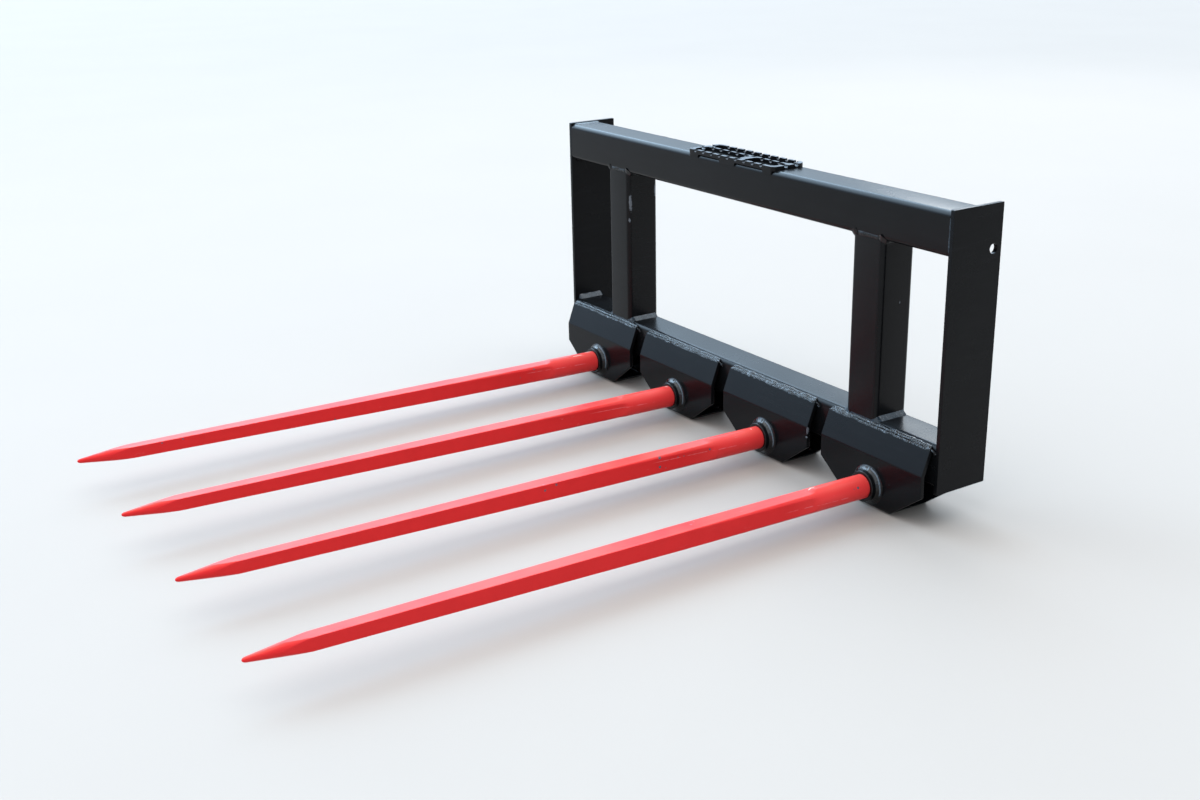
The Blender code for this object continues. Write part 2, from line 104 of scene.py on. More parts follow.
# ---------------------------------------------------------------- node helpers
class Nodes:
    """A short way to write a material's node tree."""

    def __init__(self, name, world=None):
        if world is None:
            self.owner = bpy.data.materials.new(name)
        else:
            self.owner = world
        self.owner.use_nodes = True
        self.tree = self.owner.node_tree
        self.tree.nodes.clear()
        self.out = self.add("ShaderNodeOutputWorld" if world else "ShaderNodeOutputMaterial")

    def add(self, kind, **props):
        node = self.tree.nodes.new(kind)
        for k, v in props.items():
            setattr(node, k, v)
        return node

    def put(self, socket, value):
        if isinstance(value, bpy.types.NodeSocket):
            self.tree.links.new(value, socket)
        elif isinstance(value, bpy.types.Node):
            self.tree.links.new(value.outputs[0], socket)
        elif value is not None:
            if isinstance(value, (tuple, list)) and len(value) == 3 and socket.type == "RGBA":
                value = (*value, 1.0)
            socket.default_value = value

    def math(self, op, a, b=None, c=None, clamp=False):
        n = self.add("ShaderNodeMath", operation=op, use_clamp=clamp)
        self.put(n.inputs[0], a)
        if b is not None:
            self.put(n.inputs[1], b)
        if c is not None:
            self.put(n.inputs[2], c)
        return n.outputs[0]

    def vec(self, op, a, b=None, scale=None):
        n = self.add("ShaderNodeVectorMath", operation=op)
        self.put(n.inputs[0], a)
        if b is not None:
            self.put(n.inputs[1], b)
        if scale is not None:
            self.put(n.inputs["Scale"], scale)
        return n.outputs["Value"] if op in ("LENGTH", "DISTANCE", "DOT_PRODUCT") else n.outputs[0]

    def coords(self):
        return self.add("ShaderNodeTexCoord").outputs["Object"]

    def scaled(self, vector, s):
        n = self.add("ShaderNodeMapping")
        self.put(n.inputs["Vector"], vector)
        n.inputs["Scale"].default_value = s
        return n.outputs[0]

    def noise(self, vector, scale, detail=2.0, rough=0.5, distortion=0.0):
        n = self.add("ShaderNodeTexNoise")
        self.put(n.inputs["Vector"], vector)
        n.inputs["Scale"].default_value = scale
        n.inputs["Detail"].default_value = detail
        n.inputs["Roughness"].default_value = rough
        n.inputs["Distortion"].default_value = distortion
        return n.outputs["Fac"]

    def voronoi(self, vector, scale, feature="F1", out="Distance"):
        n = self.add("ShaderNodeTexVoronoi", feature=feature)
        self.put(n.inputs["Vector"], vector)
        n.inputs["Scale"].default_value = scale
        return n.outputs[out]

    def ramp(self, value, lo, hi, to_lo=0.0, to_hi=1.0, smooth=True):
        n = self.add("ShaderNodeMapRange",
                     interpolation_type="SMOOTHSTEP" if smooth else "LINEAR")
        self.put(n.inputs["Value"], value)
        n.inputs["From Min"].default_value = lo
        n.inputs["From Max"].default_value = hi
        n.inputs["To Min"].default_value = to_lo
        n.inputs["To Max"].default_value = to_hi
        return n.outputs["Result"]

    def mix(self, fac, a, b):
        n = self.add("ShaderNodeMix", data_type="RGBA")
        self.put(n.inputs["Factor"], fac)
        ins = [s for s in n.inputs if s.type == "RGBA"]
        self.put(ins[0], a)
        self.put(ins[1], b)
        return [s for s in n.outputs if s.type == "RGBA"][0]

    def bump(self, height, distance, strength=1.0, normal=None):
        n = self.add("ShaderNodeBump")
        self.put(n.inputs["Height"], height)
        n.inputs["Distance"].default_value = distance
        n.inputs["Strength"].default_value = strength
        if normal is not None:
            self.put(n.inputs["Normal"], normal)
        return n.outputs["Normal"]

    def shader(self, colour, rough, metal=0.0, normal=None, ior=1.5, coat=0.0,
               coat_rough=0.1):
        n = self.add("ShaderNodeBsdfPrincipled")
        self.put(n.inputs["Base Color"], colour)
        self.put(n.inputs["Roughness"], rough)
        self.put(n.inputs["Metallic"], metal)
        n.inputs["IOR"].default_value = ior
        n.inputs["Coat Weight"].default_value = coat
        n.inputs["Coat Roughness"].default_value = coat_rough
        if normal is not None:
            self.put(n.inputs["Normal"], normal)
        self.tree.links.new(n.outputs[0], self.out.inputs["Surface"])
        return self.owner


def up_mask(g, lo=0.75, hi=0.97):
    """1 where a surface faces the sky."""
    geo = g.add("ShaderNodeNewGeometry")
    sep = g.add("ShaderNodeSeparateXYZ")
    g.put(sep.inputs[0], geo.outputs["Normal"])
    return g.ramp(sep.outputs["Z"], lo, hi)


def spot(g, p, centre, r0, r1, stretch=(1, 1, 1)):
    """1 inside r0 of a point, 0 beyond r1, the distance stretched along the axes."""
    q = g.vec("MULTIPLY", g.vec("SUBTRACT", p, tuple(centre)), tuple(stretch))
    return g.ramp(g.vec("LENGTH", q), r0, r1, 1.0, 0.0)


# ---------------------------------------------------------------- materials
def black_paint(name, seed=0.0, rough=0.24, ior=1.24, marks=(), painted_shade_box=None, wear_and_sheen=0.0):
    """Gloss black enamel over hot-rolled steel: faint orange peel, patches, nibs, and a pale film on
    what faces up that is dust and a painted sky reflection.  marks are pale scrapes: (centre, half sizes
    along the axes).  The shade box is painted near black and matt, a painted shade: (centre, half
    sizes).  The wear amount pales what faces up: boot wear and a painted sky highlight."""
    g = Nodes(name)
    p0 = g.coords()
    p = g.vec("ADD", p0, (seed, seed * 0.7, seed * 1.3))
    peel = g.noise(p, 330.0, 2.0, 0.5)
    wave = g.noise(p, 17.0, 3.0, 0.5)
    patch = g.noise(p, 7.0, 4.0, 0.6)
    streak = g.noise(g.scaled(p, (3.0, 3.0, 26.0)), 4.0, 3.0, 0.6)
    nib = g.ramp(g.voronoi(p, 95.0), 0.030, 0.0)
    nib = g.math("MULTIPLY", nib, g.ramp(g.noise(p, 31.0, 1.0), 0.60, 0.68))
    base = g.mix(patch, (0.0026, 0.0028, 0.0032), (0.0052, 0.0054, 0.0060))
    base = g.mix(g.math("MULTIPLY", g.ramp(streak, 0.45, 0.8), 0.35), base,
                 (0.0085, 0.0088, 0.0095))
    # pale bluish patches on what faces up: dust, and a painted sky reflection
    dust_and_sky_sheen = g.math("MULTIPLY", up_mask(g), g.ramp(g.noise(p, 9.0, 4.0, 0.55), 0.30, 0.80))
    base = g.mix(g.math("MULTIPLY", dust_and_sky_sheen, 0.030), base, (0.30, 0.36, 0.42))
    r = g.math("ADD", g.math("MULTIPLY", patch, 0.10), rough - 0.05)
    r = g.math("ADD", r, g.math("MULTIPLY", dust_and_sky_sheen, 0.05))
    n = g.bump(wave, 0.0012, 0.10)
    n = g.bump(peel, 0.00006, 0.22, n)
    n = g.bump(nib, 0.0005, 0.45, n)
    if wear_and_sheen:
        # what faces up paled bluish: boot wear and a painted sky highlight
        sheen_mask = g.math("MULTIPLY", up_mask(g, 0.30, 0.80), g.ramp(g.noise(p, 120.0, 4.0, 0.6), 0.25, 0.60))
        base = g.mix(g.math("MULTIPLY", sheen_mask, wear_and_sheen), base, (0.16, 0.185, 0.22))
        r = g.math("ADD", r, g.math("MULTIPLY", sheen_mask, 0.12))
    if painted_shade_box is not None:
        # near black and matt inside the box: a painted shade
        q = g.vec("ABSOLUTE", g.vec("DIVIDE", g.vec("SUBTRACT", p0, tuple(painted_shade_box[0])), tuple(painted_shade_box[1])))
        s = g.add("ShaderNodeSeparateXYZ")
        g.put(s.inputs[0], q)
        k = g.math("MAXIMUM", g.math("MAXIMUM", s.outputs["X"], s.outputs["Y"]), s.outputs["Z"])
        k = g.ramp(k, 1.02, 0.97)
        base = g.mix(k, base, (0.0012, 0.0012, 0.0013))
        r = g.math("ADD", r, g.math("MULTIPLY", k, 0.75))
    for centre, half in marks:
        q = g.vec("DIVIDE", g.vec("SUBTRACT", p0, tuple(centre)), tuple(half))
        d = g.math("ADD", g.vec("LENGTH", q),
                   g.math("MULTIPLY", g.math("SUBTRACT", g.noise(p, 260.0, 3.0), 0.5), 1.6))
        k = g.ramp(d, 1.0, 0.6)
        base = g.mix(g.math("MULTIPLY", k, 0.75), base, (0.16, 0.18, 0.20))
    return g.shader(base, r, 0.0, n, ior=ior)


def weld_metal(name, seed=0.0, tone=0.05, rough=0.14, ior=1.5, grit=0.30, blue=1.28, glints=0.0,
               crescent=None):
    """Painted-over weld: gloss black on rippled metal, thin and pale in places.
    glints is how strongly pale flecks are painted on, as painted glints.  crescent is a ring's centre
    and the two radii between which its upper right is painted pale, a painted highlight."""
    g = Nodes(name)
    p0 = g.coords()
    p = g.vec("ADD", p0, (seed, seed * 1.7, seed * 0.4))
    fine = g.noise(p, 420.0, 3.0, 0.6)
    blotch = g.ramp(g.noise(p, 150.0, 3.0, 0.6), 0.50, 0.68)
    broad = g.noise(p, 26.0, 2.0, 0.5)
    green = (1.0 + blue) / 2
    base = g.mix(blotch, (tone * 0.6, tone * 0.6 * green, tone * 0.6 * blue),
                 (tone, tone * green, tone * blue))
    n = g.bump(fine, 0.0003, grit)
    if glints:
        # pale flecks: painted glints
        sheen_mask = g.noise(g.scaled(p, (230.0, 420.0, 420.0)), 1.0, 3.0, 0.6)
        sheen_mask = g.math("MULTIPLY", g.ramp(sheen_mask, 0.56, 0.63), glints)
        base = g.mix(sheen_mask, base, (0.105, 0.135, 0.165))
    if crescent is not None:
        # a pale band on the ring's upper right: a painted highlight
        centre, lo, hi = crescent
        q = g.vec("MULTIPLY", g.vec("SUBTRACT", p0, tuple(centre)), (1.0, 0.0, 1.0))
        far = g.math("ADD", g.vec("LENGTH", q), g.math("MULTIPLY", g.math("SUBTRACT", broad, 0.5), 0.004))
        turn = g.vec("DOT_PRODUCT", g.vec("NORMALIZE", q), (0.87, 0.0, 0.49))
        sheen_mask = g.math("MULTIPLY", g.ramp(far, lo, lo + 0.0007), g.ramp(far, hi, hi - 0.0010))
        sheen_mask = g.math("MULTIPLY", sheen_mask, g.ramp(turn, 0.55, 0.80))
        base = g.mix(g.math("MULTIPLY", sheen_mask, 0.9), base, (0.085, 0.110, 0.135))
    r = g.math("ADD", g.math("MULTIPLY", broad, 0.12), rough - 0.04)
    return g.shader(base, r, 0.0, n, ior=ior)


def red_paint(name, index):
    """Red enamel on a forged bar: soft peel, runs along the bar, scuffs and small chips.
    Local +Z runs along the spear, +Y is up."""
    g = Nodes(name)
    p0 = g.coords()
    shift = (3.1 * index, 1.3 * index, 0.71 * index)
    p = g.vec("ADD", p0, shift)
    long_n = g.noise(g.scaled(p, (40.0, 40.0, 4.0)), 1.0, 4.0, 0.6)
    blot = g.noise(p, 26.0, 4.0, 0.6)
    peel = g.noise(p, 420.0, 2.0, 0.5)
    forge = g.noise(g.scaled(p, (55.0, 55.0, 16.0)), 1.0, 3.0, 0.5)
    red = g.mix(blot, (0.590, 0.0175, 0.0180), (0.690, 0.0215, 0.0225))
    # the round end painted paler, a painted highlight; pale rubbed streaks where bars were stacked, more near
    # the round end
    sep = g.add("ShaderNodeSeparateXYZ")
    g.put(sep.inputs[0], p0)
    near = g.ramp(sep.outputs["Z"], 0.75, 0.02, 0.25, 1.0)
    red = g.mix(g.math("MULTIPLY", g.ramp(sep.outputs["Z"], 0.22, 0.09), 0.8), red, (0.790, 0.050, 0.048))
    scuff = g.ramp(g.noise(g.scaled(p, (90.0, 90.0, 22.0)), 1.0, 6.0, 0.72), 0.60, 0.74)
    scuff = g.math("MULTIPLY", scuff, g.ramp(g.noise(p, 9.0, 2.0), 0.48, 0.64))
    scuff = g.math("MULTIPLY", scuff, near)
    colour = g.mix(g.math("MULTIPLY", scuff, 0.55), red, (0.72, 0.30, 0.32))
    # the shank and thread behind the sleeve are bare steel
    colour = g.mix(g.ramp(sep.outputs["Z"], -0.030, -0.040), colour, (0.150, 0.155, 0.160))
    # small chips down to grey primer and steel
    cell = g.voronoi(g.vec("ADD", p, (0.02, 0.0, 0.0)), 34.0)
    chip = g.ramp(g.math("ADD", cell, g.math("MULTIPLY", g.noise(p, 700.0, 3.0), 0.10)),
                  0.135, 0.115)
    chip = g.math("MULTIPLY", chip, g.ramp(g.noise(p, 6.5, 1.0), 0.58, 0.62))
    chip = g.math("MULTIPLY", chip, 0.9)
    for c, r in CHIPS.get(index, ()):
        wob = g.math("MULTIPLY", g.math("SUBTRACT", g.noise(p, 380.0, 3.0), 0.5), r * 1.5)
        q = g.vec("SUBTRACT", p0, c)
        d = g.math("ADD", g.vec("LENGTH", q), wob)
        chip = g.math("MAXIMUM", chip, g.ramp(d, r, r * 0.85))
    colour = g.mix(chip, colour, (0.075, 0.095, 0.120))
    # what faces up paled pinker: sun fading and a painted sheen
    faded_and_sheen = g.math("MULTIPLY", up_mask(g, 0.45, 0.98), g.ramp(g.noise(p, 12.0, 3.0), 0.15, 0.75))
    colour = g.mix(g.math("MULTIPLY", faded_and_sheen, 0.42), colour, (0.70, 0.110, 0.075))
    # the forging's flash line on the side, rubbed pale where it stands proud
    s0, y0, s1, y1 = SEAMS[index]
    run = g.math("SUBTRACT", sep.outputs["Y"],
                 g.math("MULTIPLY_ADD", sep.outputs["Z"], (y1 - y0) / (s1 - s0),
                        y0 - s0 * (y1 - y0) / (s1 - s0)))
    run = g.math("ADD", g.math("ABSOLUTE", run),
                 g.math("MULTIPLY", g.math("SUBTRACT", g.noise(p, 150.0, 3.0), 0.5), 0.0016))
    seam = g.ramp(run, 0.0010, 0.0003)
    seam = g.math("MULTIPLY", seam, g.ramp(sep.outputs["Z"], s0 - 0.01, s0 + 0.01))
    seam = g.math("MULTIPLY", seam, g.ramp(sep.outputs["Z"], s1 + 0.02, s1 - 0.02))
    seam = g.math("MULTIPLY", seam, g.ramp(sep.outputs["X"], 0.0, 0.004))
    seam = g.math("MULTIPLY", seam, g.ramp(g.noise(p, 45.0, 2.0), 0.40, 0.55))
    colour = g.mix(g.math("MULTIPLY", seam, 0.45), colour, (0.80, 0.22, 0.24))
    for c, half in NICKS.get(index, ()):
        q = g.vec("DIVIDE", g.vec("SUBTRACT", p0, c), half)
        d = g.math("ADD", g.vec("LENGTH", q),
                   g.math("MULTIPLY", g.math("SUBTRACT", g.noise(p, 500.0, 3.0), 0.5), 1.6))
        colour = g.mix(g.math("MULTIPLY", g.ramp(d, 1.0, 0.7), 0.8), colour, (0.75, 0.52, 0.44))
    r = g.math("ADD", 0.30, g.math("MULTIPLY", blot, 0.12))
    r = g.math("ADD", r, g.math("MULTIPLY", scuff, 0.25))
    n = g.bump(forge, 0.0010, 0.35)
    n = g.bump(long_n, 0.0006, 0.30, n)
    n = g.bump(peel, 0.00008, 0.4, n)
    n = g.bump(g.math("SUBTRACT", seam, chip), 0.0004, 0.6, n)
    return g.shader(colour, r, 0.0, n, ior=1.23)


def zinc(name, seed=0.0):
    """Bright zinc plate on turned steel, dulled in patches."""
    g = Nodes(name)
    p = g.vec("ADD", g.coords(), (seed, 0.0, seed))
    cloud = g.noise(p, 90.0, 4.0, 0.6)
    spangle = g.voronoi(p, 260.0)
    base = g.mix(cloud, (0.40, 0.41, 0.42), (0.62, 0.63, 0.63))
    r = g.math("ADD", 0.26, g.math("MULTIPLY", cloud, 0.22))
    n = g.bump(spangle, 0.00015, 0.3)
    n = g.bump(g.noise(p, 600.0, 2.0), 0.00008, 0.4, n)
    return g.shader(base, r, 0.92, n, ior=1.5)


# where the paint is gone, in each spear's own coordinates: centre and radius
CHIPS = {
    1: (((0.0115, 0.0083, 0.998), 0.0016), ((0.0118, 0.0083, 0.9577), 0.0016)),
    3: (((0.0160, 0.0152, 0.2579), 0.0034), ((0.0181, 0.0081, 0.1437), 0.0024),
        ((0.0172, -0.0033, 0.2573), 0.0026), ((0.0175, 0.0079, 0.2168), 0.0014),
        ((0.0176, 0.0070, 0.2031), 0.0011), ((0.0172, -0.0080, 0.2440), 0.0012)),
    4: (((0.0199, 0.0097, 0.0425), 0.0028), ((0.0196, 0.0090, 0.0520), 0.0010)),
}
NICKS = {
    1: (((-0.0040, 0.0215, 0.0270), (0.004, 0.004, 0.009)),
        ((0.0060, 0.0210, 0.0600), (0.0015, 0.004, 0.014))),
    2: (((-0.0015, 0.0220, 0.0212), (0.004, 0.004, 0.0030)),),
    3: (((0.0030, 0.0210, 0.0330), (0.003, 0.004, 0.0016)),),
    4: (((-0.0030, 0.0210, 0.1300), (0.002, 0.004, 0.0090)),),
}
SEAMS = {1: (0.05, 0.0050, 0.20, 0.0070), 2: (0.07, 0.0030, 0.21, 0.0060),
         3: (0.06, 0.0036, 0.26, 0.0072), 4: (0.05, -0.0030, 0.19, -0.0010)}


# ---------------------------------------------------------------- mesh helpers
def to_object(name, bm, mat, smooth_angle=35.0, matrix=None):
    bmesh.ops.recalc_face_normals(bm, faces=bm.faces)
    mesh = bpy.data.meshes.new(name)
    bm.to_mesh(mesh)
    bm.free()
    mesh.shade_smooth()
    mesh.set_sharp_from_angle(angle=math.radians(smooth_angle))
    ob = bpy.data.objects.new(name, mesh)
    ob.data.materials.append(mat)
    scene.collection.objects.link(ob)
    ob.matrix_world = PLACE @ (matrix or Matrix.Identity(4))
    return ob


def apply_modifiers(ob):
    dg = bpy.context.evaluated_depsgraph_get()
    mesh = bpy.data.meshes.new_from_object(ob.evaluated_get(dg))
    ob.modifiers.clear()
    old = ob.data
    ob.data = mesh
    bpy.data.meshes.remove(old)
    return ob


def soften(ob, width=0.0008, segments=2, angle=40.0):
    """Break the sharp edges by a small radius, with flat faces kept flat."""
    mod = ob.modifiers.new("edge", "BEVEL")
    mod.width = width
    mod.segments = segments
    mod.limit_method = "ANGLE"
    mod.angle_limit = math.radians(angle)
    mod.miter_outer = "MITER_ARC"
    mod.harden_normals = True
    mod.use_clamp_overlap = True
    apply_modifiers(ob)
    return ob


def cut(ob, *cutters):
    """Take the cutters out of ob for good."""
    for c in cutters:
        mod = ob.modifiers.new("cut", "BOOLEAN")
        mod.operation = "DIFFERENCE"
        mod.solver = "EXACT"
        mod.object = c
    apply_modifiers(ob)
    for c in cutters:
        bpy.data.objects.remove(c, do_unlink=True)
    return ob


def loops_bm(loops, caps=True, closed=False):
    bm = bmesh.new()
    rings = [[bm.verts.new(p) for p in loop] for loop in loops]
    n = len(rings[0])
    pairs = list(zip(rings, rings[1:]))
    if closed:
        pairs.append((rings[-1], rings[0]))
    for a, b in pairs:
        for i in range(n):
            j = (i + 1) % n
            bm.faces.new((a[i], a[j], b[j], b[i]))
    if caps and not closed:
        bm.faces.new(list(reversed(rings[0])))
        bm.faces.new(rings[-1])
    return bm


def prism(points, axis, lo, hi):
    def place(u, v, w):
        return {"X": (w, u, v), "Y": (u, w, v), "Z": (u, v, w)}[axis]
    bm = bmesh.new()
    a = [bm.verts.new(place(u, v, lo)) for u, v in points]
    b = [bm.verts.new(place(u, v, hi)) for u, v in points]
    bm.faces.new(a)
    bm.faces.new(list(reversed(b)))
    n = len(points)
    for i in range(n):
        j = (i + 1) % n
        bm.faces.new((a[i], b[i], b[j], a[j]))
    return bm


def arc(cx, cy, r, a0, a1, n):
    return [(cx + r * math.cos(math.radians(a0 + (a1 - a0) * i / n)),
             cy + r * math.sin(math.radians(a0 + (a1 - a0) * i / n)))
            for i in range(n + 1)]


def round_rect(u0, u1, v0, v1, r, n):
    return (arc(u1 - r, v0 + r, r, -90, 0, n) + arc(u1 - r, v1 - r, r, 0, 90, n)
            + arc(u0 + r, v1 - r, r, 90, 180, n) + arc(u0 + r, v0 + r, r, 180, 270, n))


def cyl_bm(radius, depth, n, matrix):
    bm = bmesh.new()
    bmesh.ops.create_cone(bm, cap_ends=True, segments=n, radius1=radius,
                          radius2=radius, depth=depth, matrix=matrix)
    return bm


GUIDE = bpy.data.materials.new("guide")


def cutter(name, bm):
    return to_object(name, bm, GUIDE)


def place(ob, *nodes, slot="frame_paint"):
    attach(ob, "root")
    if nodes:
        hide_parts(*nodes)
    return ob


def wobble(v, scale, amount):
    """Smooth repeatable unevenness."""
    return noise.noise(Vector(v) * scale) * amount


# ---------------------------------------------------------------- weld beads
def bead(name, path, leg_a, leg_b, size, mat, crown=0.0010, out=None, step=0.0010,
         ripple=0.0042, seed=0, rough=0.14, ends=0.004, closed=False, deep=0.00055, dip=0.0):
    """A weld along a path. leg_a and leg_b point from the root to the two toes, size is
    their length (one or two numbers), and the face between the toes swells by crown along
    out, with the overlapping ripples of a wire weld.

    path is a list of points; a leg is one direction, or one for each point."""
    pts = [Vector(p) for p in path]
    seg = [(b - a).length for a, b in zip(pts, pts[1:])]
    total = sum(seg)
    count = max(8, int(total / step))
    la, lb = size if isinstance(size, (tuple, list)) else (size, size)

    def pick(o, i, t):
        if isinstance(o[0], (tuple, list, Vector)):
            return Vector(o[i]).lerp(Vector(o[i + 1]), t).normalized()
        return Vector(o).normalized()

    m = 10
    loops = []
    for k in range(count if closed else count + 1):
        dist = total * k / count
        d, i = dist, 0
        while i < len(seg) - 1 and d > seg[i]:
            d -= seg[i]
            i += 1
        t = min(1.0, d / max(seg[i], 1e-9))
        p = pts[i].lerp(pts[i + 1], t)
        a, b = pick(leg_a, i, t), pick(leg_b, i, t)
        n = pick(out, i, t) if out is not None else (a + b).normalized()
        f = 1.0
        if not closed:
            f = math.sqrt(max(0.03, min(1.0, min(dist, total - dist) / ends)))
        turn = dist / total * 2 * math.pi
        slow = (Vector((math.cos(turn), math.sin(turn), 0)) * (total * 11.0) if closed
                else Vector((dist * 70.0, 0, 0))) + Vector((seed * 7.31, seed * 1.7, 0.4))
        w = 1.0 + rough * 1.5 * noise.noise(slow)
        w2 = 1.0 + rough * 1.2 * noise.noise(slow + Vector((9.1, 3.3, 5.7)))
        loop = []
        for j in range(m + 1):
            u = j / m
            swell = math.sin(math.pi * u) ** 0.7 if 0 < j < m else 0.0
            swell *= 1.0 - dip * math.exp(-((u - 0.5) / 0.17) ** 2)
            phase = ((dist + 0.0016 * swell + 0.0007 * noise.noise(
                Vector((dist * 220, seed, 5.0)))) / ripple) % 1.0
            rip = (1.0 - phase) ** 1.4 - 0.4
            fine = noise.noise(Vector((dist * 700 + seed, u * 3.0, seed * 2.1)))
            h = crown * w2 + deep * rip + 0.0004 * rough * fine / 0.14
            q = p + (a * (la * (1 - u) * w) + b * (lb * u * w2)) * f
            loop.append(q + n * (h * swell * f))
        loop.append(p - n * 0.0006)
        loops.append([tuple(q) for q in loop])
    bm = loops_bm(loops, closed=closed)
    return to_object(name, bm, mat, smooth_angle=80)


def join(name, obs):
    """Join finished pieces that are one run of weld into one object."""
    bm = bmesh.new()
    mats = []
    for o in obs:
        part = bmesh.new()
        part.from_mesh(o.data)
        part.transform(o.matrix_world)
        tmp = bpy.data.meshes.new("tmp")
        part.to_mesh(tmp)
        part.free()
        bm.from_mesh(tmp)
        bpy.data.meshes.remove(tmp)
        mats.append(o.data.materials[0])
    mat = mats[0]
    for o in obs:
        bpy.data.objects.remove(o, do_unlink=True)
    mesh = bpy.data.meshes.new(name)
    bm.to_mesh(mesh)
    bm.free()
    mesh.shade_smooth()
    mesh.set_sharp_from_angle(angle=math.radians(70))
    ob = bpy.data.objects.new(name, mesh)
    ob.data.materials.append(mat)
    scene.collection.objects.link(ob)
    return ob


# ---------------------------------------------------------------- frame tubes
def square_tube(name, axis, u0, u1, v0, v1, lo, hi, mat, cuts=24):
    outer = round_rect(u0, u1, v0, v1, TUBE_R, 10)
    t = TUBE_WALL
    inner = round_rect(u0 + t, u1 - t, v0 + t, v1 - t, TUBE_R - t, 10)

    def ring(points, w):
        return [(w, u, v) if axis == "X" else (u, v, w) for u, v in points]
    runs = [lo + (hi - lo) * k / cuts for k in range(cuts + 1)]
    loops = [ring(outer, w) for w in runs] + [ring(inner, w) for w in (hi, lo)]
    return to_object(name, loops_bm(loops, closed=True), mat, smooth_angle=35)


END = IN_X - GAP
# the tube's top under the step painted near black and matt: a painted shade
tube_paint = black_paint("tube_paint", 1.0, ior=1.23,
                         painted_shade_box=((0.0, (FRONT_Y + 0.0045 - 0.0060) / 2, TOP_Z1),
                               (0.127, (-0.0060 - FRONT_Y - 0.0045) / 2, 0.004)))
tube_paint2 = black_paint("tube_paint_low", 4.2, ior=1.205)
top_tube = square_tube("top_rail", "X", FRONT_Y, 0.0, TOP_Z0, TOP_Z1, -END, END, tube_paint)
place(top_tube, "top_tube")
bot_tube = square_tube("bottom_rail", "X", FRONT_Y, 0.0, BOT_Z0, BOT_Z1, -END, END, tube_paint2)
place(bot_tube, "bottom_tube")
POST_MARKS = {
    "left": (((-UPRIGHT_X + 0.0375, FRONT_Y + 0.006, 0.300), (0.004, 0.004, 0.020)),
             ((-UPRIGHT_X + 0.0380, -0.006, 0.322), (0.004, 0.003, 0.016)),
             ((-UPRIGHT_X + 0.0370, FRONT_Y + 0.004, 0.262), (0.004, 0.003, 0.005))),
    "right": (((UPRIGHT_X + 0.0381, -0.030, 0.250), (0.004, 0.0012, 0.003)),),
}
for side, sx in (("left", -1), ("right", 1)):
    cx = sx * UPRIGHT_X
    ob = square_tube("post_" + side, "Z", cx - TUBE / 2, cx + TUBE / 2, FRONT_Y, 0.0,
                     BOT_Z1 + GAP, TOP_Z0 - GAP,
                     black_paint("post_paint_" + side, 7.0 + sx, marks=POST_MARKS[side]))
    place(ob, "upright_" + side)

# ---------------------------------------------------------------- end plates
for side, sx in (("left", -1), ("right", 1)):
    x0, x1 = sorted((sx * IN_X, sx * HALF_W))
    y0, y1, z0, z1 = FRONT_Y, FRONT_Y + PLATE_D, PLATE_Z0, PLATE_Z1
    mat = black_paint("plate_paint_" + side, 12.0 + 2 * sx, rough=0.27, ior=1.195)
    ob = to_object("side_plate_" + side,
                   prism(round_rect(y0, y1, z0, z1, 0.0016, 3), "X", x0, x1), mat)
    drill = cutter("drill", cyl_bm(HOLE_R, 0.05, 64,
                                   Matrix.Translation((sx * HALF_W, HOLE_Y, HOLE_Z))
                                   @ Matrix.Rotation(math.pi / 2, 4, "Y")))
    cut(ob, drill)
    soften(ob, 0.0007, 2)
    place(ob, "end_plate_" + side)


# ---------------------------------------------------------------- pockets
def pocket_profile(nu=6, nl=10):
    t = PLATE_T
    c, s = math.cos(LEAN), math.sin(LEAN)
    inner_top = (FRONT_Y - GAP, POCKET_TOP_Z)
    outer_top = (inner_top[0] - t * c, inner_top[1] + t * s)
    ri = 0.004
    ro = ri + t
    cy, cz = FACE_Y + ro, BEND_Z - ro * math.tan(LEAN / 2)
    lean = math.degrees(LEAN)
    rb = 0.010
    by, bz = FACE_Y + rb, POCKET_BOT + rb
    return ([outer_top] + arc(cy, cz, ro, 180 - lean, 180, nu) + arc(by, bz, rb, 180, 270, nl)
            + [(POCKET_BACK, POCKET_BOT), (POCKET_BACK, POCKET_BOT + t)]
            + arc(by, bz, rb - t, 270, 180, nl) + arc(cy, cz, ri, 180, 180 - lean, nu)
            + [inner_top])


def spear_matrix(x):
    return (Matrix.Translation((x, FACE_Y, SPEAR_Z))
            @ Matrix.Rotation(math.pi / 2 - TILT, 4, "X"))


POCKET_MARKS = {
    3: (((POCKET_X[2] + POCKET_HW, FACE_Y + 0.0005, -0.0215), (0.0016, 0.0040, 0.0100)),
        ((POCKET_X[2] + POCKET_HW - 0.001, FACE_Y, -0.0345), (0.0026, 0.0030, 0.0022))),
}
OUTER_TOP = (FRONT_Y - GAP - PLATE_T * math.cos(LEAN), POCKET_TOP_Z + PLATE_T * math.sin(LEAN))

